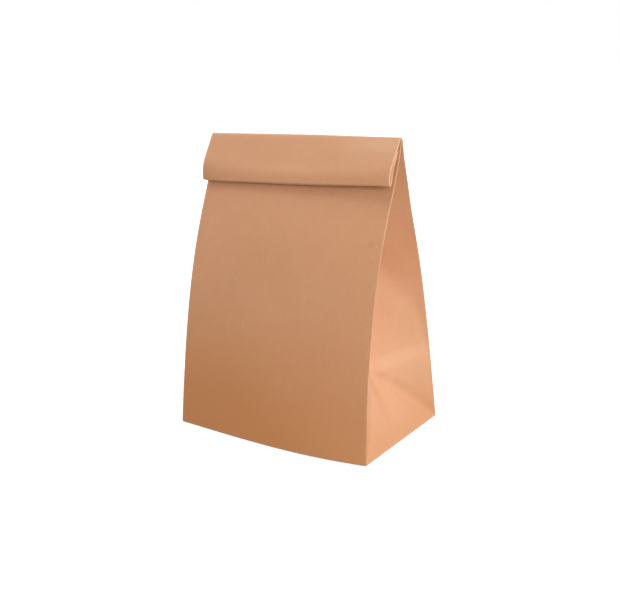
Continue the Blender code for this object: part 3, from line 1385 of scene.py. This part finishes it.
@dataclass(frozen=True)
class KraftPaper:
    """Unbleached bag paper: warm brown, matt, faintly clouded and streaked, with fine fibres in it, and
    with painted shade low on the bag and painted highlights, partly wear, on folds, creases and the flap.
    """

    name: str = "kraft_paper_dressed"
    colour: Colour = (0.564, 0.277, 0.138, 1.0)
    dark: Colour = (0.455, 0.197, 0.088, 1.0)
    light: Colour = (0.675, 0.376, 0.211, 1.0)
    ruddy: Colour = (0.612, 0.282, 0.154, 1.0)
    # Colour of the painted shade low on the bag.
    foot_shade: Colour = (0.520, 0.216, 0.078, 1.0)
    fibre_dark: Colour = (0.33, 0.145, 0.070, 1.0)
    fibre_light: Colour = (0.86, 0.58, 0.40, 1.0)
    # Colour that the painted highlights and painted light lighten the paper towards; it also stands for
    # some wear.
    highlit_and_worn: Colour = (0.90, 0.62, 0.42, 1.0)
    clouds: Unevenness = Unevenness(24.0, 3.0, 0.55, 0.45)
    blotches: Unevenness = Unevenness(150.0, 2.0, 0.6, 0.30)
    streaks: Unevenness = Unevenness(1.0, 2.0, 0.6, 0.22)
    streak_stretch: tuple[float, float, float] = (620.0, 620.0, 9.0)
    grain: Unevenness = Unevenness(2300.0, 2.0, 0.7, 0.30)
    tone_reach: float = 0.45
    ruddiness: Unevenness = Unevenness(31.0, 2.0, 0.5, 0.30)
    ruddy_stretch: tuple[float, float, float] = (1.0, 1.0, 0.7)
    ruddy_bend: float = 0.6
    ruddy_rise: tuple[float, float] = (0.40, 0.72)
    fibres: Fibres = Fibres(420.0, 0.010, 0.30)
    threads: Fibres = Fibres(760.0, 0.014, 0.26, (0.83, 1.11, 0.72))
    specks: Unevenness = Unevenness(1150.0, 1.0, 0.5, 0.55)
    speck_rise: tuple[float, float] = (0.735, 0.80)
    highlit_and_worn_share: float = 0.35
    highlit_and_worn_grain: float = 0.35
    cockle: Unevenness = Unevenness(85.0, 2.0, 0.5, 0.55)
    fine_relief: float = 0.04
    grain_relief: float = 0.05
    bump_strength: float = 0.55
    bump_distance: float = 0.00020
    roughness: float = 0.54
    roughness_change: float = 0.12
    refraction: float = 1.45
    reflection: float = 0.50

    def make(self) -> bpy.types.Material:
        """Builds the material.

        Returns:
            The paper's material.
        """
        graph = Graph.for_material(self.name)
        place = graph.node("ShaderNodeTexCoord")["Object"]
        clouds = self.clouds.read(graph, place)
        blotches = self.blotches.read(graph, place)
        streaks = self.streaks.read(graph, graph.stretch(place, self.streak_stretch))
        grain = self.grain.read(graph, place)
        tone = (clouds - 0.5) * self.clouds.share + (blotches - 0.5) * self.blotches.share
        tone = tone + (streaks - 0.5) * self.streaks.share + (grain - 0.5) * self.grain.share
        colour = graph.mix_colour((0.0 - tone).rise(0.0, self.tone_reach), self.colour, self.dark)
        colour = graph.mix_colour(tone.rise(0.0, self.tone_reach), colour, self.light)
        ruddy = self.ruddiness.read(graph, graph.stretch(place, self.ruddy_stretch), self.ruddy_bend)
        ruddy = ruddy.rise(*self.ruddy_rise) * self.ruddiness.share
        colour = graph.mix_colour(ruddy, colour, self.ruddy)
        # Painted shade darkens the paper low on the bag.
        colour = graph.mix_colour(graph.painted(LOW_SHADE), colour, self.foot_shade)
        threads = self.threads.mask(graph, place)
        fibres = self.fibres.mask(graph, place)
        colour = graph.mix_colour(fibres * self.fibres.share, colour, self.fibre_dark)
        colour = graph.mix_colour(threads * self.threads.share, colour, self.fibre_light)
        specks = self.specks.read(graph, place).rise(*self.speck_rise)
        colour = graph.mix_colour(specks * self.specks.share, colour, self.fibre_dark)
        # Painted highlights and painted light, partly wear, lighten the paper where the attribute says.
        highlight_and_wear_share = graph.painted(HIGHLIGHT_AND_WEAR) * (self.highlit_and_worn_share + grain * self.highlit_and_worn_grain)
        colour = graph.mix_colour(highlight_and_wear_share, colour, self.highlit_and_worn)
        relief = self.cockle.read(graph, place) * self.cockle.share + grain * self.grain_relief
        relief = relief + threads * self.fine_relief + streaks * self.fine_relief
        bump = graph.node("ShaderNodeBump", None, {
            "Strength": self.bump_strength,
            "Distance": self.bump_distance,
            "Height": relief,
        })
        shader = graph.node("ShaderNodeBsdfPrincipled", None, {
            "Base Color": colour,
            "Roughness": blotches * self.roughness_change + self.roughness,
            "Normal": bump["Normal"],
            "Metallic": 0.0,
            "IOR": self.refraction,
            "Specular IOR Level": self.reflection,
        })
        return graph.finish(shader["BSDF"])


@dataclass(frozen=True)
class StudioWhite:
    """The pale floor: white to the camera, darker to bounced light, and shaded by the bag."""

    name: str = "studio_white"
    seen: float = 0.80
    bounced: tuple[float, float, float] = (0.12, 0.095, 0.075)
    glow_near: float = 0.42
    glow_far: float = 0.78
    glow_rise: tuple[float, float] = (0.30, 1.60)

    def make(self) -> bpy.types.Material:
        """Builds the floor's material.

        Returns:
            The floor's material.
        """
        graph = Graph.for_material(self.name)
        watched = graph.watched()
        seen = (self.seen, self.seen, self.seen, 1.0)
        bounced = (*self.bounced, 1.0)
        colour = graph.mix_colour(watched, bounced, seen)
        matt = graph.node("ShaderNodeBsdfDiffuse", None, {"Color": colour})["BSDF"]
        place = graph.node("ShaderNodeTexCoord")["Object"]
        away = graph.node("ShaderNodeVectorMath", {"operation": "LENGTH"}, {0: place})["Value"]
        glow = away.rise(*self.glow_rise) * (self.glow_far - self.glow_near) + self.glow_near
        shine = graph.node("ShaderNodeEmission", None, {"Strength": watched * glow})["Emission"]
        both = graph.node("ShaderNodeAddShader", None, {0: matt, 1: shine})["Shader"]
        return graph.finish(both)


@dataclass(frozen=True)
class Lamp:
    """A soft rectangular lamp, aimed at the middle of the bag."""

    name: str
    place: tuple[float, float, float]
    wide: float
    high: float
    power: float
    aim: tuple[float, float, float] = (0.0, 0.0, 0.10)

    def hang(self) -> None:
        """Makes the lamp. The camera doesn't see it, in any view."""
        data = bpy.data.lights.new(self.name, "AREA")
        data.shape = "RECTANGLE"
        data.size, data.size_y = self.wide, self.high
        data.energy = self.power
        lamp = bpy.data.objects.new(self.name, data)
        lamp.location = self.place
        aim = Vector(self.aim) - Vector(self.place)
        lamp.rotation_mode = "QUATERNION"
        lamp.rotation_quaternion = aim.to_track_quat("-Z", "Y")
        lamp.visible_camera = False
        bpy.context.scene.collection.objects.link(lamp)


@dataclass
class Studio:
    """Floor, soft lamps and even surrounding light."""

    ambient: float = 0.42
    floor_size: float = 40.0
    floor_gap: float = 0.0001
    lamps: tuple[Lamp, ...] = (
        Lamp("key_lamp", (1.24, -0.97, 0.38), 0.90, 0.90, 20.5),
        Lamp("back_lamp", (1.30, 0.75, 0.65), 0.90, 0.90, 14.2),
        Lamp("left_lamp", (-0.77, -0.21, 1.49), 0.90, 0.90, 12.0),
        Lamp("fill_lamp", (-1.15, 0.95, 0.75), 0.90, 0.90, 7.0),
    )

    def lay_floor(self, material: bpy.types.Material) -> bpy.types.Object:
        """The floor that the bag stands on.

        Args:
            material: The floor's material.

        Returns:
            The floor.
        """
        half = self.floor_size / 2
        mesh = bpy.data.meshes.new("studio_floor")
        corners = [(x * half, y * half, -self.floor_gap) for x, y in ((-1, -1), (1, -1), (1, 1), (-1, 1))]
        mesh.from_pydata(corners, [], [(0, 1, 2, 3)])
        mesh.materials.append(material)
        floor = bpy.data.objects.new("studio_floor", mesh)
        bpy.context.scene.collection.objects.link(floor)
        return floor

    def light_world(self) -> None:
        """Even light from all round, which the camera sees as white."""
        world = bpy.data.worlds.new("studio")
        bpy.context.scene.world = world
        graph = Graph(world)
        strength = graph.watched() * (1.0 - self.ambient) + self.ambient
        inputs = {"Color": (1.0, 1.0, 1.0, 1.0), "Strength": strength}
        graph.finish(graph.node("ShaderNodeBackground", None, inputs)["Background"])

    def build(self) -> None:
        """Lays the floor, hangs the lamps and lights the world."""
        self.lay_floor(StudioWhite().make())
        for lamp in self.lamps:
            lamp.hang()
        self.light_world()


@dataclass
class PhotographCamera:
    """A camera where the photograph was taken from, found by fitting the bag's outline."""

    place: tuple[float, float, float] = (0.3505, -0.5113, 0.2483)
    yaw: float = 34.01
    pitch: float = 12.15
    roll: float = 1.82
    focal_pixels: float = 921.86
    image_width: float = 620.0
    image_height: float = 603.0
    middle_row: float = 260.96
    sensor_width: float = 36.0
    nearest: float = 0.01
    farthest: float = 50.0

    def build(self) -> bpy.types.Object:
        """Makes the camera and makes it the scene's.

        Returns:
            The camera.
        """
        yaw, pitch, roll = (math.radians(angle) for angle in (self.yaw, self.pitch, self.roll))
        right = Vector((math.cos(yaw), math.sin(yaw), 0.0))
        level = math.cos(pitch)
        ahead = Vector((-math.sin(yaw) * level, math.cos(yaw) * level, -math.sin(pitch)))
        up = right.cross(ahead)
        turned = right * math.cos(roll) - up * math.sin(roll)
        raised = right * math.sin(roll) + up * math.cos(roll)
        data = bpy.data.cameras.new("photograph_camera")
        data.sensor_fit = "HORIZONTAL"
        data.sensor_width = self.sensor_width
        data.lens = self.focal_pixels / self.image_width * self.sensor_width
        data.shift_y = (self.middle_row - self.image_height / 2) / self.image_width
        data.clip_start, data.clip_end = self.nearest, self.farthest
        camera = bpy.data.objects.new("photograph_camera", data)
        columns = (turned, raised, -ahead)
        rotation = Matrix([[column[row] for column in columns] for row in range(3)])
        camera.matrix_world = Matrix.Translation(self.place) @ rotation.to_4x4()
        bpy.context.scene.collection.objects.link(camera)
        bpy.context.scene.camera = camera
        return camera


def dress(piece: bpy.types.Object, material: bpy.types.Material) -> None:
    """Gives a piece its paper and says what it rides on and which finish it has.

    Args:
        piece: The piece.
        material: The paper's material.
    """
    piece.data.materials.append(material)
    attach(piece, BODY)


def main() -> None:
    """Builds the bag, the studio and the camera."""
    logging.basicConfig(level=logging.INFO, format="%(name)s: %(message)s")
    bpy.context.scene.view_settings.view_transform = "Standard"
    PhotographCamera().build()
    paper = KraftPaper().make()
    bag = PaperBag()
    piece = bag.build()
    dress(piece, paper)
    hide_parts("paper_bag")
    for flap in BottomFlaps(bag.sheet).build():
        dress(flap, paper)
    Studio().build()


if __name__ == "__main__":
    main()
